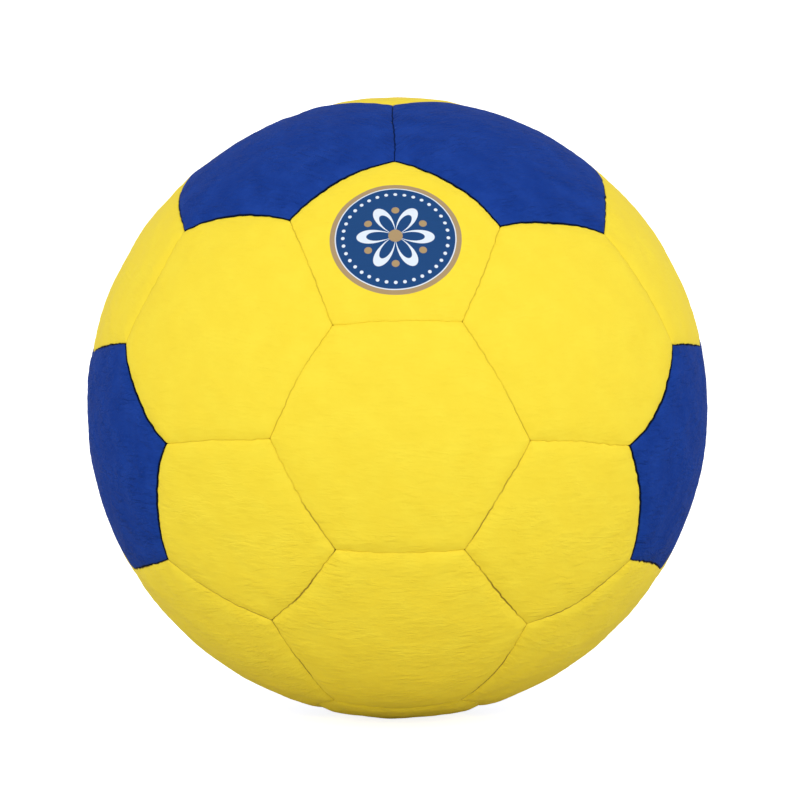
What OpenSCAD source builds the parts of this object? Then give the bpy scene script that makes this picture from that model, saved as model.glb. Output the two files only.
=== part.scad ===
// Handball, size 3: a stitched cover of 12 pentagons and 20 hexagons over foam, lining and bladder.
// The origin is the centre of the ball. The front hexagon faces -Y, the valve faces +Y, +Z is up.

/* [Ball] */
// Outer diameter of the ball
ball_d = 188; // [170:1:210]

/* [Cover] */
// Thickness of the synthetic leather
skin_t = 1.2; // [0.9:0.1:1.5]
// Radius of a panel's rolled edge, measured on its outer face
edge_roll = 2.6; // [2.2:0.1:3]
// Gap between the turned in borders of two panels
seam_gap = 0.1; // [0.06:0.02:0.2]

/* [Padding] */
// Thickness of the foam pads
foam_t = 2.8; // [2.5:0.1:4]
// Thickness of the textile linings
lining_t = 1; // [0.7:0.1:1.5]
// Clearance between layers and around fitted pieces
fit_gap = 0.1; // [0.06:0.02:0.14]

/* [Seam thread] */
// Side of the flat waxed thread's square section
thread_w = 0.8; // [0.6:0.05:0.9]
// Stitches that cross each seam
stitches = 7; // [4:1:8]
// Free length between a seam's end and its last stitch
stitch_end = 3; // [2.6:0.1:4]

/* [Bladder] */
// Wall of the rubber bladder
bladder_t = 1; // [0.7:0.1:2]

/* [Valve] */
// Outer diameter of the valve body's neck and sleeve
neck_d = 8; // [7.6:0.1:10]
// How far the neck's face lies below the leather
neck_recess = 0.4; // [0.2:0.1:0.8]
// Diameter of the flange that is glued inside the bladder
flange_d = 26; // [18:1:34]
// Thickness of the flange
flange_t = 1.2; // [0.8:0.1:2]
// Length of the valve body from the neck's face to its closed end
body_l = 24; // [21:0.5:30]
// Thickness of the closed end of the valve body
body_end_t = 1.6; // [1:0.1:3]
// Diameter of the valve core's head
head_d = 6.6; // [6:0.1:6.8]
// Thickness of the head
head_t = 1.4; // [1:0.1:2]
// Diameter of the valve core's stem
stem_d = 4.6; // [4:0.1:5]
// Diameter of the barb that locks the core in the body
barb_d = 5.6; // [5.2:0.1:6]
// Length of the barb
barb_l = 3; // [2:0.1:4]
// Diameter of the channel for the pump's needle
needle_d = 2; // [1.6:0.1:2.6]
// Depth of the straight part of the needle channel
needle_l = 12; // [8:0.5:14]
// Mouth diameter of the funnel that leads the needle in
funnel_d = 3.2; // [2.8:0.1:4]
// Depth of the funnel
funnel_l = 0.8; // [0.5:0.1:1.2]

/* [Hidden] */
$fn = 128;
yellow = "#F7DC1E";
blue = "#1F3F96";
// Length that every cut runs past the piece it cuts
overrun = 3;
// Small turn at which a rolled edge meets the outer face, in degrees
face_break = 8;
// Small turn at which a rolled edge meets the wall at the seam, in degrees
wall_break = 10;

ball_r = ball_d / 2;
cover_t = skin_t + foam_t + lining_t + 2 * fit_gap;
foam_r = ball_r - skin_t - fit_gap;
lining_r = foam_r - foam_t - fit_gap;
bladder_r = ball_r - cover_t - fit_gap;

// The leather's wall at a seam, and the thread that lies along it under the cover
wall_inset = seam_gap / 2;
inner_inset = wall_inset + skin_t;
inner_roll = edge_roll - skin_t;
rail_out = inner_inset + fit_gap + thread_w;
roll_room = wall_inset + edge_roll - sqrt(pow(inner_roll, 2) - pow(inner_roll - fit_gap, 2));
pad_inset = max(rail_out, roll_room) + fit_gap;
stitch_r = ball_r - (edge_roll + cover_t) / 2;
stitch_hole_d = thread_w * sqrt(2) + fit_gap;

// Angles of a truncated icosahedron, seen from its centre
edges_in_radius = sqrt(58 + 18 * sqrt(5)) / 4;
seam_half = asin(1 / (2 * edges_in_radius));
stitch_half = seam_half - stitch_end / stitch_r * 180 / PI;
stitch_pitch = 2 * stitch_half / (stitches - 1);
thread_turn = thread_w / stitch_r * 180 / PI;

// The centres of the pentagons are the corners of an icosahedron with one face towards -Y.
// Two rings of three lie round the front, and each has its opposite on the back.
golden = (1 + sqrt(5)) / 2;
near_turn = acos(golden * golden / sqrt(3 * (1 + golden * golden)));
far_turn = acos((golden - 1) / sqrt(3 * (1 + golden * golden)));
function on_ring(polar, turn) = [sin(polar) * cos(turn), -cos(polar), sin(polar) * sin(turn)];
front_half = [
    for (turn = [90, 210, 330]) on_ring(near_turn, turn),
    for (turn = [30, 150, 270]) on_ring(far_turn, turn)
];
pentagons = concat(front_half, -front_half);
function beside(i, j) = i != j && pentagons[i] * pentagons[j] > 0;
function unit(v) = v / norm(v);

// Each hexagon is the face between three pentagons that lie beside each other
hexagons = [
    for (i = [0:9], j = [i + 1:10], k = [j + 1:11])
        if (beside(i, j) && beside(j, k) && beside(i, k)) [i, j, k]
];
valve_hexagon_place = [6, 7, 8];
// Pairs of pentagons at the two ends of a seam between two blue hexagons
blue_seams = [[0, 11], [5, 6], [4, 9], [3, 10]];
function holds(face, i) = len(search(i, face)) > 0;
function is_blue(face) = len([for (s = blue_seams) if (holds(face, s[0]) && holds(face, s[1])) s]) > 0;
blue_hexagons = [for (f = hexagons) if (is_blue(f)) f];
yellow_hexagons = [for (f = hexagons) if (!is_blue(f) && f != valve_hexagon_place) f];

// A panel's corner lies a third of the way from one pentagon to the next
function corner(i, j) = (2 * pentagons[i] + pentagons[j]) / 3;
function face_centre(f) = unit(pentagons[f[0]] + pentagons[f[1]] + pentagons[f[2]]);
pentagon_seams = [
    for (i = [0:11], j = [0:10], k = [j + 1:11])
        if (beside(i, j) && beside(i, k) && beside(j, k)) [corner(i, j), corner(i, k)]
];
hexagon_seams = [for (i = [0:10], j = [i + 1:11]) if (beside(i, j)) [corner(i, j), corner(j, i)]];

// Turn from a panel's centre to the middle of each of its sides
function mid_turn(sides) =
    let (across = 0.5 / tan(180 / sides), out = 0.5 / sin(180 / sides))
    atan(across / sqrt(pow(edges_in_radius, 2) - out * out));

function numbered(name, count) = [for (i = [1:count]) str(name, "_", i)];

// Places a piece with its +Z along one direction and its +X leaning towards another
module facing(up, towards) {
    z = unit(up);
    x = unit(towards - (towards * z) * z);
    y = cross(z, x);
    multmatrix([[x[0], y[0], z[0], 0], [x[1], y[1], z[1], 0], [x[2], y[2], z[2], 0], [0, 0, 0, 1]])
        children();
}

module at_pentagon(i) {
    neighbour = [for (j = [0:11]) if (beside(i, j)) j][0];
    facing(pentagons[i], corner(i, neighbour))
        children();
}

module at_hexagon(f) {
    facing(face_centre(f), corner(f[0], f[1]))
        children();
}

// At a seam +Z points out through its middle and +X points across it
module at_seam(ends) {
    facing(ends[0] + ends[1], cross(ends[0], ends[1]))
        children();
}

module at_valve() {
    rotate([-90, 0, 0])
        children();
}

// Side k of a panel whose centre is on +Z, in the same frame as a seam's
module at_side(k, sides) {
    rotate([0, 0, (k + 0.5) * 360 / sides])
        rotate([0, mid_turn(sides), 0])
            children();
}

// Half section of a ball that is cut flat at a seam, with a rolled rim where the cut meets its surface.
// It runs on past the surface, so that only the rim and the cut shape a panel.
module rim_section(radius, inset, roll) {
    reach = sqrt(radius * radius + roll * roll - 2 * radius * roll * cos(face_break));
    roll_z = -inset - roll * cos(wall_break);
    roll_r = sqrt(reach * reach - roll_z * roll_z);
    far = 1 + overrun / radius;
    intersection() {
        translate([0, -radius - overrun])
            square([radius + 2 * overrun, radius + overrun - inset]);
        union() {
            translate([roll_r, roll_z])
                circle(roll);
            polygon([
                [0, overrun],
                [0, -radius - overrun],
                [roll_r * far, -radius - overrun],
                [roll_r * far, roll_z * far],
                [roll_r, roll_z],
                [roll_r, overrun]
            ]);
        }
    }
}

// Curved panel with rolled edges, made from a hollow ball by shaping one side after another
module rolled_panel(sides, radius, depth, inset, roll, side) {
    intersection() {
        if (side == 0)
            difference() {
                sphere(radius);
                sphere(radius - depth);
            }
        else
            rolled_panel(sides, radius, depth, inset, roll, side - 1);
        at_side(side, sides)
            rotate([0, 90, 0])
                rotate_extrude()
                    rim_section(radius, inset, roll);
    }
}

// Curved panel with square cut edges
module cut_panel(sides, radius, depth, inset) {
    reach = radius + overrun;
    difference() {
        sphere(radius);
        sphere(radius - depth);
        for (k = [0:sides - 1])
            at_side(k, sides)
                translate([-inset, -reach, -reach])
                    cube(2 * reach);
    }
}

// Turns round the seam's axis to each stitch
module at_stitches() {
    for (s = [0:stitches - 1])
        rotate([-stitch_half + s * stitch_pitch, 0, 0])
            children();
}

module stitch_holes(sides) {
    for (k = [0:sides - 1])
        at_side(k, sides)
            at_stitches()
                translate([-inner_inset - overrun, 0, stitch_r])
                    rotate([0, 90, 0])
                        cylinder(h = skin_t + 2 * overrun, d = stitch_hole_d);
}

// One piece of leather: its edges roll over and turn in, down to the bladder
module leather(sides) {
    difference() {
        rolled_panel(sides, ball_r, cover_t, wall_inset, edge_roll, sides - 1);
        rolled_panel(sides, ball_r - skin_t, cover_t, inner_inset, inner_roll, sides - 1);
        stitch_holes(sides);
    }
}

module foam_pad(sides) {
    cut_panel(sides, foam_r, foam_t, pad_inset);
}

module lining(sides) {
    cut_panel(sides, lining_r, lining_t, pad_inset);
}

// Way for the valve's neck through a layer
module neck_hole() {
    at_valve()
        translate([0, 0, bladder_r - bladder_t - overrun])
            cylinder(h = ball_r, d = neck_d + 2 * fit_gap);
}

// Thread of one seam: a run along each border, joined by the stitches through both borders
module seam_stitches() {
    rail_in = rail_out - thread_w;
    module arc(half_turn, across, thick) {
        rotate([0, 90, 0])
            rotate([0, 0, 180 - half_turn])
                rotate_extrude(angle = 2 * half_turn)
                    translate([stitch_r - thick / 2, -across])
                        square([thick, 2 * across]);
    }
    difference() {
        arc(stitch_half + thread_turn / 2, rail_out, thread_w);
        for (s = [0:stitches - 2])
            rotate([-stitch_half + (s + 0.5) * stitch_pitch, 0, 0])
                arc((stitch_pitch - thread_turn) / 2, rail_in, thread_w + 2 * overrun);
    }
}

module yellow_pentagon(i) {
    color(yellow)
        at_pentagon(i)
            leather(5);
}

module yellow_hexagon(f) {
    color(yellow)
        at_hexagon(f)
            leather(6);
}

module blue_hexagon(f) {
    color(blue)
        at_hexagon(f)
            leather(6);
}

module valve_hexagon() {
    color(yellow)
        difference() {
            at_hexagon(valve_hexagon_place)
                leather(6);
            neck_hole();
        }
}

module pentagon_foam_pads() {
    color("lightgrey")
        for (i = [0:len(pentagons) - 1])
            at_pentagon(i)
                foam_pad(5);
}

module hexagon_foam_pads() {
    color("lightgrey") {
        for (f = concat(yellow_hexagons, blue_hexagons))
            at_hexagon(f)
                foam_pad(6);
        difference() {
            at_hexagon(valve_hexagon_place)
                foam_pad(6);
            neck_hole();
        }
    }
}

module pentagon_linings() {
    color("white")
        for (i = [0:len(pentagons) - 1])
            at_pentagon(i)
                lining(5);
}

module hexagon_linings() {
    color("white") {
        for (f = concat(yellow_hexagons, blue_hexagons))
            at_hexagon(f)
                lining(6);
        difference() {
            at_hexagon(valve_hexagon_place)
                lining(6);
            neck_hole();
        }
    }
}

module pentagon_seam_thread() {
    color("midnightblue")
        for (ends = pentagon_seams)
            at_seam(ends)
                seam_stitches();
}

module hexagon_seam_thread() {
    color("midnightblue")
        for (ends = hexagon_seams)
            at_seam(ends)
                seam_stitches();
}

module bladder() {
    color("dimgray")
        difference() {
            sphere(bladder_r);
            sphere(bladder_r - bladder_t);
            neck_hole();
        }
}

// Rubber boot: neck through the cover, flange against the inside of the bladder, closed sleeve for the core
module valve_body() {
    top = ball_r - neck_recess;
    flange_r = bladder_r - bladder_t - fit_gap;
    seat_d = head_d + 2 * fit_gap;
    stem_hole_d = stem_d + 2 * fit_gap;
    barb_top = top - body_l + body_end_t + barb_l + 2 * fit_gap;
    color("black")
        at_valve()
            difference() {
                union() {
                    translate([0, 0, top - body_l])
                        cylinder(h = body_l, d = neck_d);
                    intersection() {
                        difference() {
                            sphere(flange_r);
                            sphere(flange_r - flange_t);
                        }
                        cylinder(h = ball_r, d = flange_d);
                    }
                }
                translate([0, 0, top - head_t - fit_gap])
                    cylinder(h = head_t + fit_gap + overrun, d = seat_d);
                translate([0, 0, top - body_l + body_end_t])
                    cylinder(h = body_l - body_end_t, d = stem_hole_d);
                translate([0, 0, barb_top - barb_l - 2 * fit_gap])
                    cylinder(h = barb_l + 2 * fit_gap, d = barb_d + 2 * fit_gap);
            }
}

// Rubber plug: head in the neck, stem in the sleeve, barb at its end, blind channel for the needle
module valve_core() {
    top = ball_r - neck_recess;
    foot = top - body_l + body_end_t + fit_gap;
    mouth = top - funnel_l;
    color("yellow")
        at_valve()
            difference() {
                union() {
                    translate([0, 0, top - head_t])
                        cylinder(h = head_t, d = head_d);
                    translate([0, 0, foot])
                        cylinder(h = top - foot, d = stem_d);
                    translate([0, 0, foot])
                        cylinder(h = barb_l, d = barb_d);
                }
                translate([0, 0, mouth])
                    cylinder(h = funnel_l, d1 = needle_d, d2 = funnel_d);
                translate([0, 0, mouth - needle_l])
                    cylinder(h = needle_l + overrun, d = needle_d);
            }
}

for (i = [0:len(pentagons) - 1])
    yellow_pentagon(i);
for (i = [0:len(yellow_hexagons) - 1])
    yellow_hexagon(yellow_hexagons[i]);
for (i = [0:len(blue_hexagons) - 1])
    blue_hexagon(blue_hexagons[i]);
valve_hexagon();
pentagon_foam_pads();
hexagon_foam_pads();
pentagon_linings();
hexagon_linings();
pentagon_seam_thread();
hexagon_seam_thread();
bladder();
valve_body();
valve_core();
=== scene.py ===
# Team handball: a stitched leather cover on a white studio floor.
# Sizes are in millimetres, and become metres where a mesh is made.
import math

import bpy
import numpy as np
from mathutils import Matrix, Vector


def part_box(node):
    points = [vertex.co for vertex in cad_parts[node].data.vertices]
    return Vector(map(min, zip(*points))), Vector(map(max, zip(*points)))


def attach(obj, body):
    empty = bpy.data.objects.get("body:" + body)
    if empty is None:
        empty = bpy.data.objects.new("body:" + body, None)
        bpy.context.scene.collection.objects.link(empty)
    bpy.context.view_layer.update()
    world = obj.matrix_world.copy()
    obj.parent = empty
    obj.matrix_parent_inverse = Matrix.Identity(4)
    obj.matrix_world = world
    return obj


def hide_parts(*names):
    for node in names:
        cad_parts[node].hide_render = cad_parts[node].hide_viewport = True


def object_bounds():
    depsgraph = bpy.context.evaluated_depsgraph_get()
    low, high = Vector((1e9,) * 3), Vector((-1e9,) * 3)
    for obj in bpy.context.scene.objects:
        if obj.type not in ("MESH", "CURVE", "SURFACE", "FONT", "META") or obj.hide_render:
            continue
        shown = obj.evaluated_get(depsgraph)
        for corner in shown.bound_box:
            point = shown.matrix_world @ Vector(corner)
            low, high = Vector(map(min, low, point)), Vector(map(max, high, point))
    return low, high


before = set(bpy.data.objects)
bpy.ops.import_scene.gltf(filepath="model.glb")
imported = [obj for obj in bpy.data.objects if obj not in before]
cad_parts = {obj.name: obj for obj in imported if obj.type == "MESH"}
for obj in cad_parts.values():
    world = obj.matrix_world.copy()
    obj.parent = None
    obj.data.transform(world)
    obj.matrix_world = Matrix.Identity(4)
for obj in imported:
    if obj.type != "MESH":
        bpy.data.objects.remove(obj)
cad_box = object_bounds()

MM = 0.001
BODY = "root"
ball_r = max(high - low for low, high in zip(*cad_box)) / 2 / MM

# The leather cover: its sheet, how far its borders turn in, half the gap between two borders, and
# the radius of a panel's corners
skin_t = 1.2
cover_t = 5.2
seam_inset = 0.03
corner_round = 1.0

# A panel's edge rolls over at this radius until it has this slope at the seam. The panel is a low
# pillow too, which falls by pillow_drop over the width next to a seam.
roll_r = 3.0
roll_slope = math.radians(12)
pillow_w = 6.5
pillow_drop = 0.95
pillow_power = 2.3

# The stitches of a side pull the edge in, and the seam wobbles. A period is the length of a wave.
stitches = 7
stitch_pitch = 5.32
stitch_pull = 0.1
stitch_reach = 1.6
pull_period = 7
seam_wobble = 0.09
wobble_period = 3

# Lumps and level creases in the outer face, which fade out this far from the seam
lump_h = 0.09
lump_period = 16
crease_h = 0.03
crease_period = 8
crease_stretch = 3.2
relief_fade = 5

# The line of painted shade in a seam is this much narrower on both sides of a blue pair's seam,
# and at level seams between yellow panels, where the upper lip hides the crack. A seam that rises
# by more than level_rise of its length isn't level at all.
pair_cut = 0.5
level_cut = 0.35
level_rise = 0.5

# How the stitched cover settles: at the front and back yellow panels swell into their blue
# neighbours, and seams wander a little. It settles in full down to settle_depth under the surface,
# and not at all at the feet of its borders. Round the valve it stays in place as far out as
# valve_still, and is free to settle from valve_free on.
swell = 2.4
swell_w = 11.0
swell_facing = 0.45
wander = 0.45
wander_period = 70
settle_depth = 2.6
valve_still = 14
valve_free = 30

# Some corners and seams of the photographed ball also stray from the even pattern. A stray is a
# place, in degrees round from the front and up, and its move to the right and up. The moves were
# measured against the photograph and listed.
stray_w = 13.0
strays = [
    (-55.5, 37.6, -3.2, -1.0), (-62.3, 15.1, -2.1, -1.2), (-53.6, -24.9, -1.1, -0.3),
    (-30.6, -37.6, 0.8, 1.2), (-24.2, -60.5, -2.7, -5.6), (24.2, -60.5, 1.9, -6.0),
    (53.6, -24.9, 1.3, -1.4), (46.9, -2.6, -0.8, -1.3), (62.3, 15.1, 3.0, -1.7),
    (55.5, 37.6, 0.2, -0.9), (25.6, 40.9, -0.6, -1.5), (0.0, 57.5, -1.2, -0.6),
    (-25.6, 40.9, -1.5, 1.0), (12.4, 20.5, 0.0, 0.7), (23.8, 0.0, 1.2, -0.8),
    (12.4, -20.5, 0.0, -1.2), (-12.4, -20.5, 1.4, -0.2), (0.0, -62.0, 0.0, -8.4),
    (42.0, -34.0, 1.6, -2.8), (41.0, 41.0, -1.0, -2.2), (55.0, 6.0, 1.9, -0.8),
    (-14.5, 50.0, -0.5, 1.2), (-18.5, 10.5, -0.9, 0.5), (18.5, 10.5, 1.1, 0.6),
    (-20.0, -31.0, 1.1, -1.0), (20.0, -31.0, -0.9, -0.8), (30.0, -50.0, 2.0, -1.4),
    (-35.5, -1.0, 0.0, 0.9), (-77.6, -70.5, 0.0, -8.0), (77.6, -70.5, 0.0, -5.5),
    (0.0, -21.5, 0.0, -0.8), (0.0, 21.5, 0.0, 0.5), (-83.7, 48.9, -8.0, -0.6),
    (83.7, 48.9, 7.0, 0.8), (-68.3, 44.1, -2.6, -2.0), (68.3, 44.1, -0.2, -0.8),
    (-90.0, 60.0, -6.5, 0.0), (90.0, 60.0, 6.5, 0.0), (-102.4, 70.5, -5.0, 0.0),
    (102.4, 70.5, 5.0, 0.0), (-74.8, 80.1, -9.0, 0.0), (74.8, 80.1, 9.5, 0.0),
    (17.0, 52.6, 0.0, -2.2), (54.3, 0.0, 2.2, 0.0), (-79.3, -29.6, -5.0, -2.2),
    (79.3, -29.6, 5.0, -3.0), (-85.8, 10.9, -5.0, 0.1), (85.8, 10.9, 5.0, 1.0),
    (-46.9, -2.6, 0.3, -0.6), (-41.0, 41.0, 0.0, -0.4), (-20.3, 32.9, -0.5, 0.3),
    (0.0, 69.0, -0.8, 0.0),
]
# Smaller strays, where a panel's corner is pinched
pinch_w = 6.0
pinches = [(51.7, -1.3, 1.8, 0.0), (-52.2, -0.2, -1.0, 0.0), (-50.6, -6.0, -1.1, 0.0)]

# The grid lines of a panel's outer face from its centre to the middle of a side, how many of them
# lie in the rolled edge, the rows of the border that turns in, and how much coarser the inside is
grid_lines = 36
roll_lines = 6
wall_lines = 2
coarse_step = 4

# The valve, and the ring of the valve panel's grid that becomes the edge of its hole
neck_d = 8.0
neck_recess = 0.4
neck_gap = 0.1
bladder_r = 88.7
bladder_t = 1.0
flange_d = 26.0
flange_t = 1.2
body_l = 24.0
body_end_t = 1.6
head_d = 6.6
head_t = 1.4
stem_d = 4.6
barb_d = 5.6
barb_l = 3.0
needle_d = 2.0
needle_l = 12.0
funnel_d = 3.2
funnel_l = 0.8
valve_round = 0.3
hole_ring = 4
hole_lip_rings = 1.2

# The round print on the pentagon above the front hexagon: its place on the panel, its border and
# white line, the ring of white dots, the petals and the hollows in them, the beads and the middle
badge_place = (-0.5, 1.1)
badge_r = 19.7
badge_border = 1.6
badge_line = 0.35
white_dots = 36
white_dots_out = 15.6
white_dot_r = 0.55
petal_count = 6
petal_l = 11.5
hollow_l = 8.6
beads_out = 9.3
bead_r = 1.15
badge_middle_r = 2.1
print_blur = 0.08
petal_blur = 0.12

# The patterns in the leather: its mottling, the fine creases low on the ball and the groups they
# stand in, the grain, and the patches in which the painted shade in a seam is strong
mottle_period = 11
fine_crease_period = 1.3
fine_crease_stretch = (0.3, 1, 1)
fine_crease_shift = (3.0, 7.0, 0)
crease_group_period = 9
crease_group_stretch = (0.6, 1, 1)
grain_period = 0.4
grain_depth = 0.02
seam_shade_patch_period = 14

# The patterns in the rubber, the foam and the cloth
bloom_period = 6
rubber_grain_period = 0.5
rubber_grain_depth = 0.04
foam_cell = 0.7
foam_depth = 0.15
foam_tone_period = 5
weave_depth = 0.2
cloth_tone_period = 4

# The studio: half a side of the floor, its grey, the glow that only the camera sees, the light of
# the surround and how wide each lamp is
floor_half = 20000
floor_tone = 0.69
floor_glow = 0.84
surround_light = 0.73
lamp_spread = math.radians(60)

# The camera, as the photograph shows the ball
camera_distance = 2060.7
camera_turn = math.radians(-0.12)
camera_rise = math.radians(5.847)
camera_roll = math.radians(-0.24)
camera_lens = 305.8
sensor_w = 36
photo_side = 800
ball_centre_px = (397.4, 407.7)


def unit(v):
    return v / np.linalg.norm(v, axis=-1, keepdims=True)


def smooth(share):
    """0 up to 0, 1 from 1 on, and a soft step between them."""
    share = np.clip(share, 0, 1)
    return share * share * (3 - 2 * share)


def compass(direction):
    """The level direction to the right and the one up, on the ball's surface there."""
    right = unit(np.cross([0, 0, 1], direction))
    return right, np.cross(direction, right)


def waves(points, period, seed, count=28):
    """A smooth random field of about -1 to 1, made of waves of about that period in random
    directions."""
    rng = np.random.default_rng(seed)
    turns = unit(rng.normal(size=(count, 3))) * rng.uniform(0.6, 1.5, (count, 1))
    turns = turns * 2 * math.pi / period
    phases = rng.uniform(0, 2 * math.pi, count)
    return np.cos(points @ turns.T + phases).sum(1) * math.sqrt(2 / count)


# The cover's pattern: the centres of the 12 pentagons are the corners of an icosahedron
# with one face towards -Y, in two rings of three with their opposites on the back
GOLDEN = (1 + math.sqrt(5)) / 2
near_turn = math.acos(GOLDEN ** 2 / math.sqrt(3 * (1 + GOLDEN ** 2)))
far_turn = math.acos((GOLDEN - 1) / math.sqrt(3 * (1 + GOLDEN ** 2)))


def on_ring(polar, turn):
    turn = math.radians(turn)
    across = math.sin(polar)
    return np.array([across * math.cos(turn), -math.cos(polar), across * math.sin(turn)])


front_half = [on_ring(near_turn, turn) for turn in (90, 210, 330)]
front_half += [on_ring(far_turn, turn) for turn in (30, 150, 270)]
pentagons = front_half + [-place for place in front_half]
badge_pentagon = pentagons[0]


def beside(i, j):
    return i != j and pentagons[i] @ pentagons[j] > 0


def corner(i, j):
    """A panel's corner lies a third of the way from one pentagon to the next."""
    return unit(2 * pentagons[i] + pentagons[j])


def in_turn(corners):
    """The corners of a panel, counter-clockwise as seen from outside."""
    middle = unit(sum(corners))
    start = unit(corners[0] - (corners[0] @ middle) * middle)
    across = np.cross(middle, start)
    return sorted(corners, key=lambda c: math.atan2(c @ across, c @ start) % (2 * math.pi))


def all_panels():
    """The corners of every panel of the cover."""
    numbers = range(len(pentagons))
    panels = [in_turn([corner(i, j) for j in numbers if beside(i, j)]) for i in numbers]
    for i in numbers:
        for j in numbers[i + 1:]:
            for k in numbers[j + 1:]:
                if beside(i, j) and beside(j, k) and beside(i, k):
                    ends = [(i, j), (j, i), (j, k), (k, j), (k, i), (i, k)]
                    panels.append(in_turn([corner(a, b) for a, b in ends]))
    return panels


leather_middles = {
    name: unit(np.array(sum(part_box(name), Vector())))
    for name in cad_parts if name.startswith(("yellow", "blue", "valve_hexagon"))
}


def leather_node(middle):
    """The CAD node of the panel whose middle lies in that direction."""
    return max(leather_middles, key=lambda name: leather_middles[name] @ middle)


# How far past a seam the panel beyond it is looked up, as a share of the ball's radius
look_across = 0.3


def node_beyond(side_middle, inward):
    """The CAD node of the panel on the other side of a seam."""
    return leather_node(unit(side_middle - look_across * inward))


class Kites:
    """A panel's grid: a square grid from its centre to each corner, joined along their sides."""

    def __init__(self, sides, lines):
        self.sides, self.lines = sides, lines
        row = lines + 1
        steps = np.arange(row)
        self.index = np.zeros((sides, row, row), int)
        for k in range(sides):
            self.index[k, 1:, :] = 1 + k * lines * row + (steps[1:, None] - 1) * row + steps
        for k in range(sides):
            self.index[k, 0, 1:] = self.index[(k + 1) % sides, 1:, 0]
        self.count = 1 + sides * lines * row
        self.ring = np.zeros(self.count, int)
        for k in range(sides):
            self.ring[self.index[k]] = np.maximum(steps[:, None], steps)

    def faces(self, from_ring=0):
        """Quads, facing out, of the cells outside one ring."""
        cell = np.arange(self.lines)
        keep = np.maximum(cell[:, None], cell) >= from_ring
        found = []
        for grid in self.index:
            quads = np.stack([grid[:-1, :-1], grid[1:, :-1], grid[1:, 1:], grid[:-1, 1:]], -1)
            found.append(quads[keep])
        return np.concatenate(found)

    def loop(self, ring):
        """The points along one ring, counter-clockwise from the first kite's first side."""
        found = []
        for grid in self.index:
            found += list(grid[ring, :ring + 1]) + list(grid[1:ring, ring][::-1])
        return np.array(found)

    def directions(self, corners, reach, shares):
        """Unit directions of all points. reach is the share of the panel's outline that the grid
        fills, and shares are the places of the grid lines, from 0 at the centre to 1 at the
        outline."""
        middle = unit(sum(corners))
        flat = np.array([c / (c @ middle) for c in corners])
        flat = middle + (flat - middle) * reach
        points = np.zeros((self.count, 3))
        s, t = shares[:, None, None], shares[None, :, None]
        for k in range(self.sides):
            before = (flat[k - 1] + flat[k]) / 2
            after = (flat[k] + flat[(k + 1) % self.sides]) / 2
            points[self.index[k]] = (
                (1 - s) * (1 - t) * middle + s * (1 - t) * before
                + (1 - s) * t * after + s * t * flat[k]
            )
        return unit(points)


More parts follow.
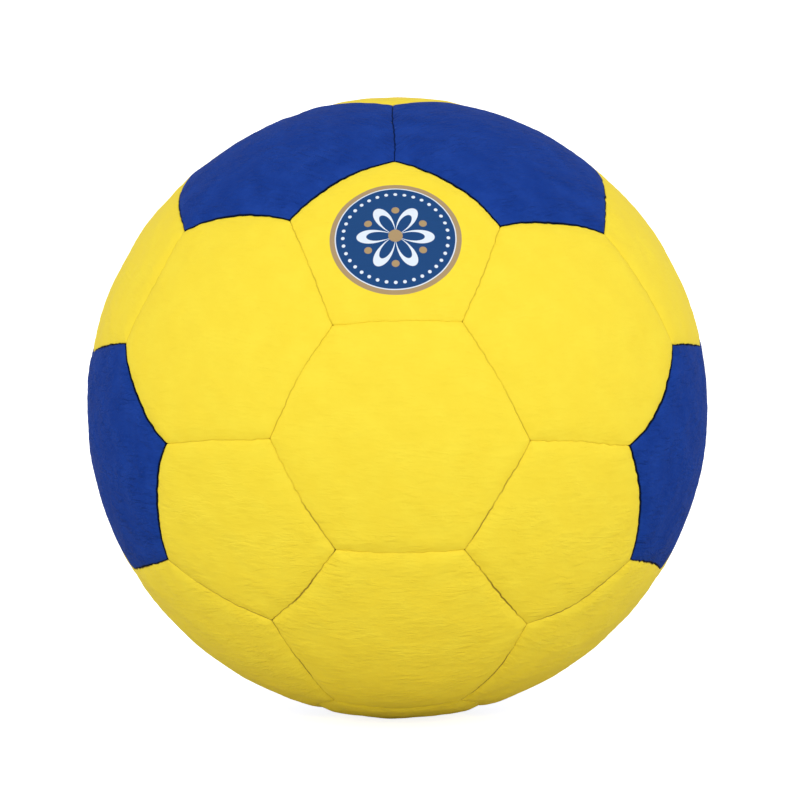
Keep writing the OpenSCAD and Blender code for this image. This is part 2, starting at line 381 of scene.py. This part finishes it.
class Panel:
    """One leather panel: its frame, its sides, its grid and the shape of its faces."""

    def __init__(self, corners, lines):
        self.corners = corners
        self.middle = unit(sum(corners))
        following = corners[1:] + corners[:1]
        self.inward = np.array([unit(np.cross(c, after)) for c, after in zip(corners, following)])
        self.along = np.array([unit(after - c) for c, after in zip(corners, following)])
        self.side_middles = np.array([unit(after + c) for c, after in zip(corners, following)])
        self.half_turn = math.acos(self.side_middles[0] @ self.middle)
        self.half_side = math.acos(self.side_middles[0] @ corners[0])
        self.right, self.up = compass(self.middle)
        self.kites = Kites(len(corners), lines)

    def offsets(self, inset):
        """Distances in from the outline of the grid lines, from the centre outwards."""
        slopes = np.linspace(roll_slope, 0, roll_lines + 1)
        rolled = roll_r * (math.sin(roll_slope) - np.sin(slopes))
        to_centre = self.half_turn * ball_r - inset
        even = np.linspace(rolled[-1], to_centre, grid_lines - roll_lines + 1)
        return np.concatenate([rolled, even[1:]])[::-1]

    def directions(self, offsets, inset):
        """Directions of the grid's points, with its lines these distances in from an outline at
        that inset."""
        edge = self.half_turn - inset / ball_r
        shares = np.tan(edge - offsets / ball_r) / math.tan(edge)
        reach = math.tan(edge) / math.tan(self.half_turn)
        return self.kites.directions(self.corners, reach, shares)

    def round_corners(self, directions, inset, radius):
        """Moves the points near each corner onto arcs, and keeps how far in they lie."""
        d = ball_r * directions @ self.inward.T - inset
        rounded = directions * ball_r
        for k, point in enumerate(self.corners):
            slant = self.inward[k - 1] @ self.inward[k]
            half_angle = (math.pi - math.acos(slant)) / 2
            inwards = unit(self.middle - (self.middle @ point) * point)
            to_centre = (radius + inset) / math.sin(half_angle)
            centre = unit(point * ball_r + inwards * to_centre) * ball_r
            # From the arc's centre a point lies a and b along the two sides' outward directions
            e1, e2 = radius - d[:, k - 1], radius - d[:, k]
            a = (e1 - e2 * slant) / (1 - slant ** 2)
            b = (e2 - e1 * slant) / (1 - slant ** 2)
            fan = (a > 0) & (b > 0)
            far = np.sqrt(np.maximum(a * a + b * b + 2 * a * b * slant, 1e-9))
            factor = np.where(fan, np.maximum(e1, e2) / far, 1)[:, None]
            rounded = np.where(fan[:, None], centre + (rounded - centre) * factor, rounded)
        return unit(rounded)

    def open_middle(self, directions, ring, hole_r):
        """Turns the rings round the panel's centre into circles, the first at the hole's edge."""
        kites = self.kites
        across = directions / (directions @ self.middle)[:, None] - self.middle
        far = np.linalg.norm(across, axis=1) * ball_r
        circle = hole_r + (kites.ring - ring) * self.half_turn * ball_r / kites.lines
        share = smooth((kites.ring - ring) / (3 * ring))
        goal = circle * (1 - share) + far * share
        factor = np.where(kites.ring < ring, 1, goal / np.maximum(far, 1e-6))
        return unit(self.middle + across * factor[:, None])

    def seam_shape(self, directions):
        """The wobble of the nearest seam at each point, as a move, and how strongly a stitch
        pulls there."""
        side = (directions @ self.inward.T).argmin(1)
        inward = self.inward[side]
        on_seam = unit(directions - (directions * inward).sum(1)[:, None] * inward)
        turn = np.arcsin(np.clip((on_seam * self.along[side]).sum(1), -1, 1))
        # The wobble fades out over the last quarter of the way to a corner
        ends = np.clip((1 - np.abs(turn) / self.half_side) * 4, 0, 1)
        # Opposite for the two panels of a seam, so that both wobble the same way
        one_way = np.sign(inward @ [1.0, 0.37, 0.11])
        spot = on_seam * ball_r
        size = seam_wobble * one_way * ends * waves(spot, wobble_period, seed=5)
        step = np.abs(turn) * ball_r / stitch_pitch
        pull = (0.5 + 0.5 * np.cos(2 * math.pi * step)) ** 2 * (step < stitches / 2)
        return inward * size[:, None], pull * (0.75 + 0.25 * waves(spot, pull_period, seed=8))

    def outer_face(self, directions, d):
        """Directions and radii of the outer face where the points lie d in from the outline."""
        near = np.exp(-(d / stitch_reach) ** 2)
        wobble, pull = self.seam_shape(directions)
        moved = unit(directions * ball_r + wobble * near[:, None])
        spot = directions * ball_r
        right, up = spot @ self.right, spot @ self.up * crease_stretch
        flat = np.stack([right, up, np.zeros(len(spot))], 1)
        relief = lump_h * waves(spot, lump_period, seed=11)
        relief += crease_h * waves(flat, crease_period, seed=23, count=40)
        dip = edge_drop(directions, d, d, roll_r) + stitch_pull * pull * near
        return moved, ball_r - dip + relief * smooth(d / relief_fade)


def edge_drop(directions, d, from_seam, roll):
    """How far a face lies below the ball's surface, d in from its own edge, which is rolled to
    that radius. The pillows are deepest at the front and the back, and half as deep at the sides,
    top and foot."""
    over = np.maximum(roll * math.sin(roll_slope) - d, 0)
    depth = pillow_drop * (0.5 + 0.5 * np.abs(directions[:, 1]))
    pillow = depth * np.clip(1 - from_seam / pillow_w, 0, 1) ** pillow_power
    return roll - np.sqrt(roll ** 2 - over ** 2) + pillow


def stray_moves():
    """The place, the move and the reach of each stray."""
    for moves, reach in ((strays, stray_w), (pinches, pinch_w)):
        for turn, rise, right, up in moves:
            turn, rise = math.radians(turn), math.radians(rise)
            level = math.cos(rise)
            place = np.array([math.sin(turn) * level, -math.cos(turn) * level, math.sin(rise)])
            east, north = compass(place)
            yield place, right * east + up * north, reach


def two_coloured_seams():
    """The ends of each seam between a blue and a yellow panel that faces the front or the back,
    and the way to the blue one."""
    for corners in all_panels():
        if not leather_node(unit(sum(corners))).startswith("blue"):
            continue
        for a, b in zip(corners, corners[1:] + corners[:1]):
            middle, inward = unit(a + b), unit(np.cross(a, b))
            if abs(middle[1]) > swell_facing:
                if not node_beyond(middle, inward).startswith("blue"):
                    yield a, b, inward


seams_to_blue = list(two_coloured_seams())
strays_placed = list(stray_moves())


def settled(points):
    """Points of the cover where the stitched cover has settled."""
    directions = unit(points)
    radii = np.linalg.norm(points, axis=1)
    spot = directions * ball_r
    drift = [waves(spot, wander_period, seed=31 + k, count=12) for k in range(3)]
    move = np.stack(drift, 1) * wander
    for a, b, across in seams_to_blue:
        middle = unit(a + b)
        share = np.arcsin(np.clip(directions @ unit(b - a), -1, 1)) / math.acos(a @ middle)
        away = np.arcsin(directions @ across) * ball_r
        near = np.clip(1 - share ** 2, 0, 1) * np.exp(-(away / swell_w) ** 2)
        # Not on the opposite side of the ball
        near = (directions @ middle > 0.5) * near
        move += swell * near[:, None] * across
    for place, way, reach in strays_placed:
        far = np.arccos(np.clip(directions @ place, -1, 1)) * ball_r
        move += np.exp(-(far / reach) ** 2)[:, None] * way
    move -= (move * directions).sum(1)[:, None] * directions
    from_valve = np.arccos(np.clip(directions[:, 1], -1, 1)) * ball_r
    free = smooth((from_valve - valve_still) / (valve_free - valve_still))
    fade = smooth((radii - ball_r + cover_t) / (cover_t - settle_depth)) * free
    return unit(spot + move * fade[:, None]) * radii[:, None]


def band(upper, lower):
    """Quads, facing out, between two rings of as many points."""
    rings = zip(upper, lower, np.roll(lower, -1), np.roll(upper, -1))
    return [list(quad) for quad in rings]


def bridge(fine, coarse):
    """Faces between a ring of many points and one of few below or inside, facing as band's do."""
    step = len(fine) // len(coarse)
    fine = np.append(fine, fine[0])
    following = np.roll(coarse, -1)
    return [
        [*fine[k * step:(k + 1) * step + 1][::-1], c, following[k]]
        for k, c in enumerate(coarse)
    ]


def turned_over(faces):
    return [face[::-1] for face in faces]


def make_piece(name, points, faces, material):
    """A smooth mesh piece, from points in millimetres, that rides on the ball."""
    mesh = bpy.data.meshes.new(name)
    mesh.from_pydata((points * MM).tolist(), [], [[int(i) for i in face] for face in faces])
    mesh.polygons.foreach_set("use_smooth", [True] * len(mesh.polygons))
    mesh.materials.append(material)
    piece = bpy.data.objects.new(name, mesh)
    bpy.context.scene.collection.objects.link(piece)
    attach(piece, BODY)
    return piece


class Shell:
    """The points and faces of a piece, added part by part, and each point's distance from the
    seam."""

    def __init__(self):
        self.points, self.seam_mm, self.faces = np.zeros((0, 3)), np.zeros(0), []

    def add(self, points, seam_mm=0.0):
        """Adds points and gives their numbers."""
        first = len(self.points)
        self.points = np.concatenate([self.points, points])
        self.seam_mm = np.append(self.seam_mm, np.broadcast_to(seam_mm, len(points)))
        return np.arange(first, len(self.points))

    def in_use(self):
        """The points that faces use, their distances from the seam, and the faces between them."""
        used = np.zeros(len(self.points), bool)
        used[[i for face in self.faces for i in face]] = True
        new = np.cumsum(used) - 1
        faces = [[new[i] for i in face] for face in self.faces]
        return self.points[used], self.seam_mm[used], faces


def add_outer_face(shell, panel, offsets, hole):
    """Adds a panel's outer face with its rolled edge."""
    rings = panel.kites.ring
    directions = panel.directions(offsets, seam_inset)
    if hole:
        directions = panel.open_middle(directions, hole, neck_d / 2 + neck_gap)
    directions = panel.round_corners(directions, seam_inset, corner_round)
    moved, radii = panel.outer_face(directions, offsets[rings])
    if hole:
        radii -= valve_round * np.exp(-((rings - hole) / hole_lip_rings) ** 2)
    shell.add(moved * radii[:, None], offsets[rings])
    shell.faces += panel.kites.faces(hole).tolist()


def add_border(shell, rim):
    """Adds the border that turns in from the rim, and gives its foot."""
    edge = shell.points[rim]
    top = np.linalg.norm(edge, axis=1).min()
    level = rim
    for radius in np.linspace(top, ball_r - cover_t, wall_lines + 1)[1:]:
        below = shell.add(unit(edge) * radius)
        shell.faces += band(level, below)
        level = below
    return level


def add_inside(shell, corners, offsets, hole, foot, lip):
    """Adds the plain inside, with coarser grid lines, and closes it to the border's foot and the
    hole's lip."""
    inside = Panel(corners, grid_lines // coarse_step)
    kites, hole = inside.kites, hole // coarse_step
    offsets = offsets[::coarse_step] * (1 - skin_t / offsets[0])
    d = offsets[kites.ring]
    directions = inside.directions(offsets, seam_inset + skin_t)
    if hole:
        directions = inside.open_middle(directions, hole, neck_d / 2 + neck_gap + skin_t)
    radii = ball_r - skin_t - edge_drop(directions, d, d + skin_t, roll_r - skin_t)
    rim = kites.loop(grid_lines // coarse_step)
    face = shell.add(directions * radii[:, None])
    inner_foot = shell.add(directions[rim] * (ball_r - cover_t))
    shell.faces += turned_over(face[kites.faces(hole)].tolist())
    shell.faces += turned_over(band(face[rim], inner_foot))
    shell.faces += bridge(foot, inner_foot)
    if hole:
        shell.faces += turned_over(bridge(lip, face[kites.loop(hole)]))


def leather_piece(name, corners, material, slot, hole=0):
    """A panel's leather as a closed shell: outer face, rolled edge, turned in border and plain
    inside. hole is the ring of the grid that becomes the edge of the valve's hole."""
    panel = Panel(corners, grid_lines)
    offsets = panel.offsets(seam_inset)
    shell = Shell()
    add_outer_face(shell, panel, offsets, hole)
    foot = add_border(shell, panel.kites.loop(grid_lines))
    add_inside(shell, corners, offsets, hole, foot, panel.kites.loop(hole))
    points, seam_mm, faces = shell.in_use()
    nearest = (unit(points) @ panel.inward.T).argmin(1)
    seam_mm = seam_mm + shade_line_cuts(panel, slot)[nearest]
    points = settled(points)
    piece = make_piece(name, points, faces, material)
    add_layers(piece, panel, points, seam_mm)
    return piece


def shade_line_cuts(panel, slot):
    """How much narrower the painted seam shade is along each side of a panel."""
    cuts = []
    for middle, inward, along in zip(panel.side_middles, panel.inward, panel.along):
        blues = slot.startswith("blue") + node_beyond(middle, inward).startswith("blue")
        level = 1 - smooth(abs(along[2]) / level_rise)
        cuts.append([level_cut * level, 0, pair_cut][blues])
    return np.array(cuts)


def add_layers(piece, panel, points, seam_mm):
    """Gives a piece its distance from the seam and its own flat coordinates, in millimetres."""
    mesh = piece.data
    seam = mesh.attributes.new("seam_mm", "FLOAT", "POINT")
    seam.data.foreach_set("value", seam_mm.astype(np.float32))
    directions = unit(points)
    flat = np.stack([directions @ panel.right, directions @ panel.up], 1)
    flat *= ball_r / (directions @ panel.middle)[:, None]
    loops = np.zeros(len(mesh.loops), np.int32)
    mesh.loops.foreach_get("vertex_index", loops)
    layer = mesh.uv_layers.new(name="panel_mm")
    layer.data.foreach_set("uv", flat[loops].astype(np.float32).ravel())


def turned_piece(name, outline, material, steps=96):
    """A piece turned about +Y from an outline of (radius, height), from axis to axis."""
    turns = np.linspace(0, 2 * math.pi, steps, endpoint=False)
    points, rings, faces = [], [], []
    for radius, height in outline:
        first = len(points)
        if radius == 0:
            rings.append([first] * steps)
            points.append((0, height, 0))
        else:
            rings.append(list(range(first, first + steps)))
            points += [(radius * math.cos(t), height, -radius * math.sin(t)) for t in turns]
    for upper, lower in zip(rings[1:], rings):
        # On the axis two corners of a quad are one point, which leaves a triangle
        faces += [list(dict.fromkeys(int(i) for i in face)) for face in band(upper, lower)]
    return make_piece(name, np.array(points, float), faces, material)


def rounded(outline, radius, steps=4):
    """An outline with its corners rounded, as far as the stretches between them allow."""
    outline = [np.array(p, float) for p in outline]
    found = [outline[0]]
    for before, at, after in zip(outline, outline[1:], outline[2:]):
        # At most a little less than half a stretch, so that two rounded corners never meet
        r = min(radius, np.linalg.norm(before - at) / 2.2, np.linalg.norm(after - at) / 2.2)
        start, end = at + unit(before - at) * r, at + unit(after - at) * r
        for t in np.linspace(0, 1, steps + 1):
            found.append((1 - t) ** 2 * start + 2 * t * (1 - t) * at + t ** 2 * end)
    found.append(outline[-1])
    return [tuple(p) for p in found]


class Nodes:
    """A material's node tree, with short calls that add a node and give its output."""

    def __init__(self, name):
        self.material = bpy.data.materials.new(name)
        self.material.use_nodes = True
        self.tree = self.material.node_tree
        self.shader = self.tree.nodes["Principled BSDF"]

    def add(self, kind, inputs, output=0, **settings):
        node = self.tree.nodes.new("ShaderNode" + kind)
        for key, value in settings.items():
            setattr(node, key, value)
        for key, value in inputs.items():
            self.put(node.inputs[key], value)
        return node.outputs[output]

    def put(self, socket, value):
        if isinstance(value, bpy.types.NodeSocket):
            self.tree.links.new(value, socket)
        else:
            socket.default_value = value

    def sets(self, **values):
        """Fills the shader's sockets, named with underscores for spaces."""
        for key, value in values.items():
            self.put(self.shader.inputs[key.replace("_", " ")], value)
        return self.material

    def flat_mm(self, stretch=(1, 1, 1), place=(0, 0, 0)):
        uv = self.add("UVMap", {}, uv_map="panel_mm")
        return self.add("Mapping", {"Vector": uv, "Scale": stretch, "Location": place})

    def object_mm(self):
        place = self.add("TexCoord", {}, "Object")
        return self.add("Mapping", {"Vector": place, "Scale": [1 / MM] * 3})

    def split(self, vector):
        """A vector's X, Y and Z."""
        node = self.tree.nodes.new("ShaderNodeSeparateXYZ")
        self.put(node.inputs[0], vector)
        return node.outputs

    def noise(self, vector, period, detail=3.0, roughness=0.5, distortion=0.0):
        values = {"Vector": vector, "Scale": 1 / period, "Detail": detail}
        return self.add("TexNoise", values | {"Roughness": roughness, "Distortion": distortion})

    def ramp(self, value, low, high, start=0.0, end=1.0):
        values = {"Value": value, "From Min": low, "From Max": high}
        values |= {"To Min": start, "To Max": end}
        return self.add("MapRange", values, interpolation_type="SMOOTHSTEP")

    def math(self, operation, a, b=0.0):
        return self.add("Math", {0: a, 1: b}, operation=operation)

    def mix(self, share, a, b):
        return self.add("Mix", {"Factor": share, 6: a, 7: b}, 2, data_type="RGBA")

    def bump(self, height, distance, strength=1.0, normal=None):
        values = {"Height": height, "Distance": distance * MM, "Strength": strength}
        if normal is not None:
            values["Normal"] = normal
        return self.add("Bump", values)


def rgb(red, green, blue):
    return (red, green, blue, 1.0)


# The two leathers. The seam colour is painted shade down in a seam's crack, and on blue panels a
# band of painted shadow on their own rolled edge. Its two widths say how far from the seam it is
# full and where it ends, and its low strength is its strength where it is faintest, high up.
# crease is the depth of the creases low down, and smooth_top the share of it that is left high up.
# The darker crease colour of each leather is painted shade in its creases.
YELLOW = {
    "base": rgb(0.89, 0.685, 0.042),
    "pale": rgb(0.91, 0.72, 0.050),
    "deep": rgb(0.82, 0.60, 0.035),
    "seam_shade": rgb(0.34, 0.22, 0.025),
    "seam_shade_w": (0.08, 0.35),
    "seam_shade_low": 0.22,
    "gloss": 0.05,
    "crease": 0.5,
    "smooth_top": 0.5,
}
BLUE = {
    "base": rgb(0.0085, 0.039, 0.25),
    "pale": rgb(0.0135, 0.053, 0.31),
    "deep": rgb(0.005, 0.025, 0.165),
    "seam_shade": rgb(0.002, 0.005, 0.012),
    "seam_shade_w": (0.4, 0.9),
    "seam_shade_low": 1.0,
    "gloss": 0.01,
    "crease": 1.2,
    "smooth_top": 1.0,
}
# The height on the ball from which creases and the painted seam shade fade, and those where they
# are faintest. The painted seam shade is darker lower down, where less light from above reaches.
fade_from, crease_faint, seam_shade_faint = -45, 10, 20


def leather_material(name, look, badge=False):
    """Synthetic leather: soft mottling, short level creases with painted shade in them, fine
    grain, and painted shade along the seams, darker lower on the ball.
    """
    n = Nodes(name)
    mottle = n.noise(n.flat_mm(), mottle_period, 4, 0.6)
    height = n.split(n.object_mm())[2]
    groups = n.noise(n.flat_mm(crease_group_stretch), crease_group_period, 2, 0.5)
    clusters = n.ramp(groups, 0.35, 0.65, 0.35, 1)
    upward = n.ramp(height, fade_from, crease_faint, 1, look["smooth_top"])
    clusters = n.math("MULTIPLY", clusters, upward)
    place = n.flat_mm(fine_crease_stretch, fine_crease_shift)
    creases = n.noise(place, fine_crease_period, 3, 0.55, 0.5)
    grain = n.noise(n.object_mm(), grain_period, 2, 0.5)
    colour = n.mix(n.ramp(mottle, 0.3, 0.75), look["base"], look["pale"])
    # Painted shade in the creases: they are darker where they cluster, most of all low on the ball
    crease_shade_mask = n.math("MULTIPLY", n.ramp(creases, 0.52, 0.75, 0, 0.25), clusters)
    colour = n.mix(crease_shade_mask, colour, look["deep"])
    if badge:
        colour = badge_print(n, colour)
    # Painted shade in each seam: full next to it and fading away from it, patchy, and stronger
    # lower on the ball, where less light from above reaches
    seam = n.add("Attribute", {}, "Fac", attribute_name="seam_mm")
    patches = n.noise(n.object_mm(), seam_shade_patch_period, 1)
    patchy = n.ramp(patches, 0.35, 0.6, look["seam_shade_low"], 1)
    upward = n.ramp(height, fade_from, seam_shade_faint, 1, look["seam_shade_low"])
    strength = n.math("MULTIPLY", patchy, upward)
    line = n.math("MULTIPLY", n.ramp(seam, *look["seam_shade_w"], 1, 0), strength)
    colour = n.mix(line, colour, look["seam_shade"])
    relief = n.bump(n.math("MULTIPLY", creases, clusters), look["crease"])
    relief = n.bump(grain, grain_depth, 0.5, relief)
    roughness = n.ramp(mottle, 0.2, 0.8, 0.5, 0.62)
    n.sets(Base_Color=colour, Roughness=roughness, Normal=relief)
    return n.sets(Specular_IOR_Level=look["gloss"])


def badge_print(n, leather):
    """A round print: a tan border, a white line and a dark blue field with a ring of dots and a
    plain rosette of six petals."""
    place = n.flat_mm(place=(-badge_place[0], -badge_place[1], 0))
    x, y, _ = n.split(place)
    far = n.add("VectorMath", {"Vector": place}, "Value", operation="LENGTH")
    turn = n.math("ARCTAN2", y, x)

    def inside(radius):
        return n.ramp(far, radius - print_blur, radius + print_blur, 1, 0)

    def from_spoke(parts, between):
        """The turn from the nearest of so many spokes, or from the middle between two."""
        part = 2 * math.pi / parts
        start = turn if between else n.math("ADD", turn, part / 2)
        return n.math("SUBTRACT", n.math("FLOORED_MODULO", start, part), part / 2)

    def dots(parts, out, radius, between=False):
        spoke = from_spoke(parts, between)
        along = n.math("SUBTRACT", n.math("MULTIPLY", far, n.math("COSINE", spoke)), out)
        across = n.math("MULTIPLY", far, n.math("SINE", spoke))
        squares = [n.math("MULTIPLY", side, side) for side in (along, across)]
        off = n.math("SQRT", n.math("ADD", *squares))
        return n.ramp(off, radius - print_blur, radius + print_blur, 1, 0)

    def petals(length, power):
        """Petals of that length, and slimmer with a higher power."""
        wave = n.math("COSINE", n.math("MULTIPLY", turn, petal_count / 2))
        shape = n.math("POWER", n.math("ABSOLUTE", wave), power)
        edge = n.math("SUBTRACT", n.math("MULTIPLY", shape, length), far)
        return n.ramp(edge, -petal_blur, petal_blur, 0, 1)

    white, tan = rgb(0.72, 0.79, 0.88), rgb(0.40, 0.28, 0.145)
    navy = rgb(0.014, 0.062, 0.195)
    colour = n.mix(inside(badge_r), leather, tan)
    colour = n.mix(inside(badge_r - badge_border), colour, white)
    colour = n.mix(inside(badge_r - badge_border - badge_line), colour, navy)
    colour = n.mix(dots(white_dots, white_dots_out, white_dot_r), colour, white)
    colour = n.mix(petals(petal_l, power=0.8), colour, white)
    colour = n.mix(petals(hollow_l, power=1.1), colour, navy)
    colour = n.mix(dots(petal_count, beads_out, bead_r, between=True), colour, tan)
    return n.mix(inside(badge_middle_r), colour, tan)


def rubber_material(name, colour, dusty):
    """Matt rubber with a faint bloom."""
    n = Nodes(name)
    place = n.object_mm()
    bloom = n.noise(place, bloom_period, 4, 0.6)
    relief = n.bump(n.noise(place, rubber_grain_period, 2), rubber_grain_depth, 0.5)
    return n.sets(Base_Color=n.mix(n.ramp(bloom, 0.35, 0.8), colour, dusty),
                  Roughness=n.ramp(bloom, 0.2, 0.8, 0.5, 0.7),
                  Specular_IOR_Level=0.4, Normal=relief)


def foam_material(name):
    """Closed cell foam."""
    n = Nodes(name)
    place = n.object_mm()
    cells = n.add("TexVoronoi", {"Vector": place, "Scale": 1 / foam_cell})
    shade = n.ramp(n.noise(place, foam_tone_period, 3), 0.3, 0.7)
    return n.sets(Base_Color=n.mix(shade, rgb(0.62, 0.62, 0.6), rgb(0.5, 0.5, 0.48)),
                  Roughness=0.95, Specular_IOR_Level=0.1, Normal=n.bump(cells, foam_depth, 0.7))


def cloth_material(name, colour, shade):
    """Plain weave from two crossing sets of waves."""
    n = Nodes(name)
    threads = []
    for axis in "XZ":
        values = {"Vector": n.object_mm(), "Scale": 0.35, "Distortion": 0.4}
        threads.append(n.add("TexWave", values, "Fac", bands_direction=axis))
    weave = n.math("MULTIPLY", *threads)
    tone = n.noise(n.object_mm(), cloth_tone_period, 3)
    return n.sets(Base_Color=n.mix(n.ramp(tone, 0.3, 0.8), colour, shade), Roughness=0.9,
                  Specular_IOR_Level=0.15, Normal=n.bump(weave, weave_depth, 0.8))


def dress(node, material):
    """Gives a CAD node's slots that material."""
    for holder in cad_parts[node].material_slots:
        holder.material = material


def make_cover():
    """The 32 leather panels, each in the place of its CAD node."""
    plain = leather_material("yellow_leather", YELLOW)
    printed = leather_material("yellow_leather_with_badge", YELLOW, badge=True)
    blue = leather_material("blue_leather", BLUE)
    badge_panel = leather_node(badge_pentagon)
    for corners in all_panels():
        node = leather_node(unit(sum(corners)))
        hole = hole_ring if node.startswith("valve") else 0
        if node.startswith("blue"):
            material, slot = blue, "blue_leather"
        else:
            material, slot = printed if node == badge_panel else plain, "yellow_leather"
        piece = leather_piece(node + "_leather", corners, material, slot, hole)
        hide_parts(node)


def make_valve():
    """The neck, flange and sleeve of the valve's body, and the core that plugs it, with softened
    edges."""
    top = ball_r - neck_recess
    foot = top - body_l
    inner_foot = foot + body_end_t
    flange_out = bladder_r - bladder_t - neck_gap
    flange_in = flange_out - flange_t

    def on_ball(radius, out):
        return (out, math.sqrt(radius * radius - out * out))

    neck = neck_d / 2
    underside = [on_ball(flange_in, r) for r in np.linspace(neck, flange_d / 2, 6)]
    upper_side = [on_ball(flange_out, r) for r in np.linspace(flange_d / 2, neck, 6)]
    head, stem, barb = (d / 2 + neck_gap for d in (head_d, stem_d, barb_d))
    head_foot = top - head_t - neck_gap
    barb_top = inner_foot + barb_l + 2 * neck_gap
    outline = [(0, foot), (neck, foot), *underside, *upper_side, (neck, top), (head, top),
               (head, head_foot), (stem, head_foot), (stem, barb_top), (barb, barb_top),
               (barb, inner_foot), (0, inner_foot)]
    rubber = rubber_material("valve_rubber", rgb(0.012, 0.012, 0.013), rgb(0.03, 0.03, 0.032))
    outline = rounded(outline, valve_round)
    body = turned_piece("valve_body_rubber", outline, rubber)
    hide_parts("valve_body")

    start = inner_foot + neck_gap
    head, stem, barb, needle = (d / 2 for d in (head_d, stem_d, barb_d, needle_d))
    needle_end = top - funnel_l - needle_l
    outline = [(0, start), (barb, start), (barb, start + barb_l), (stem, start + barb_l),
               (stem, top - head_t), (head, top - head_t), (head, top), (funnel_d / 2, top),
               (needle, top - funnel_l), (needle, needle_end), (0, needle_end)]
    rubber = rubber_material("core_rubber", rgb(0.75, 0.52, 0.03), rgb(0.62, 0.42, 0.05))
    outline = rounded(outline, valve_round)
    core = turned_piece("valve_core_rubber", outline, rubber)
    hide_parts("valve_core")


def dress_inside():
    """Materials for the pieces that lie under the leather."""
    foam = foam_material("foam")
    lining = cloth_material("lining_cloth", rgb(0.75, 0.75, 0.72), rgb(0.66, 0.66, 0.62))
    thread = cloth_material("seam_thread", rgb(0.03, 0.035, 0.06), rgb(0.05, 0.055, 0.09))
    for sides in ("pentagon", "hexagon"):
        dress(sides + "_foam_pads", foam)
        dress(sides + "_linings", lining)
        dress(sides + "_seam_thread", thread)
    black, grey = rgb(0.02, 0.02, 0.02), rgb(0.045, 0.045, 0.045)
    dress("bladder", rubber_material("bladder_rubber", black, grey))


def make_floor():
    """A white floor under the ball's lowest point, brighter to the eye than the light it gives."""
    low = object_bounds()[0].z
    mesh = bpy.data.meshes.new("floor")
    half = floor_half * MM
    corners = [(-half, -half, low), (half, -half, low), (half, half, low), (-half, half, low)]
    mesh.from_pydata(corners, [], [(0, 1, 2, 3)])
    floor = bpy.data.objects.new("floor", mesh)
    bpy.context.scene.collection.objects.link(floor)
    n = Nodes("floor")
    white = rgb(floor_tone, floor_tone, floor_tone)
    n.sets(Base_Color=white, Roughness=0.9, Specular_IOR_Level=0.0)
    seen = n.add("LightPath", {}, "Is Camera Ray")
    glow = n.add("Emission", {"Strength": n.math("MULTIPLY", seen, floor_glow)})
    both = n.add("AddShader", {0: n.shader.outputs[0], 1: glow})
    n.put(n.tree.nodes["Material Output"].inputs["Surface"], both)
    floor.data.materials.append(n.material)


def make_lights():
    """A pale surround, and three wide, soft suns, as from large studio lights."""
    world = bpy.data.worlds.new("studio")
    bpy.context.scene.world = world
    world.use_nodes = True
    tree = world.node_tree
    seen = tree.nodes.new("ShaderNodeLightPath").outputs["Is Camera Ray"]
    strength = tree.nodes.new("ShaderNodeMapRange")
    strength.inputs["To Min"].default_value = surround_light
    strength.inputs["To Max"].default_value = 1.0
    tree.links.new(seen, strength.inputs["Value"])
    background = tree.nodes["Background"]
    background.inputs["Color"].default_value = rgb(1, 1, 1)
    tree.links.new(strength.outputs[0], background.inputs["Strength"])
    for name, place, energy in (
        ("front", (0.0, -1.0, 0.08), 1.6),
        ("left", (-1.0, -0.25, 0.25), 0.7),
        ("right", (1.0, -0.25, 0.25), 0.8),
    ):
        lamp = bpy.data.lights.new(name, "SUN")
        lamp.energy = energy
        lamp.angle = lamp_spread
        holder = bpy.data.objects.new(name, lamp)
        holder.rotation_euler = Vector(place).to_track_quat("Z", "Y").to_euler()
        bpy.context.scene.collection.objects.link(holder)


def make_camera():
    """The camera in front of the ball, with the turn, rise, roll and framing of the photograph."""
    back = Vector((
        math.sin(camera_turn) * math.cos(camera_rise),
        -math.cos(camera_turn) * math.cos(camera_rise),
        math.sin(camera_rise),
    ))
    right = Vector((math.cos(camera_turn), math.sin(camera_turn), 0))
    up = back.cross(right)
    right = right * math.cos(camera_roll) + up * math.sin(camera_roll)
    up = back.cross(right)
    camera = bpy.data.objects.new("camera", bpy.data.cameras.new("camera"))
    turn = Matrix((right, up, back)).transposed().to_4x4()
    camera.matrix_world = Matrix.Translation(back * camera_distance * MM) @ turn
    camera.data.lens = camera_lens
    camera.data.sensor_width = sensor_w
    camera.data.shift_x = 0.5 - ball_centre_px[0] / photo_side
    camera.data.shift_y = ball_centre_px[1] / photo_side - 0.5
    camera.data.clip_end = 100
    bpy.context.scene.collection.objects.link(camera)
    bpy.context.scene.camera = camera


make_camera()
make_cover()
make_valve()
dress_inside()
make_floor()
make_lights()
bpy.context.scene.view_settings.view_transform = "Standard"
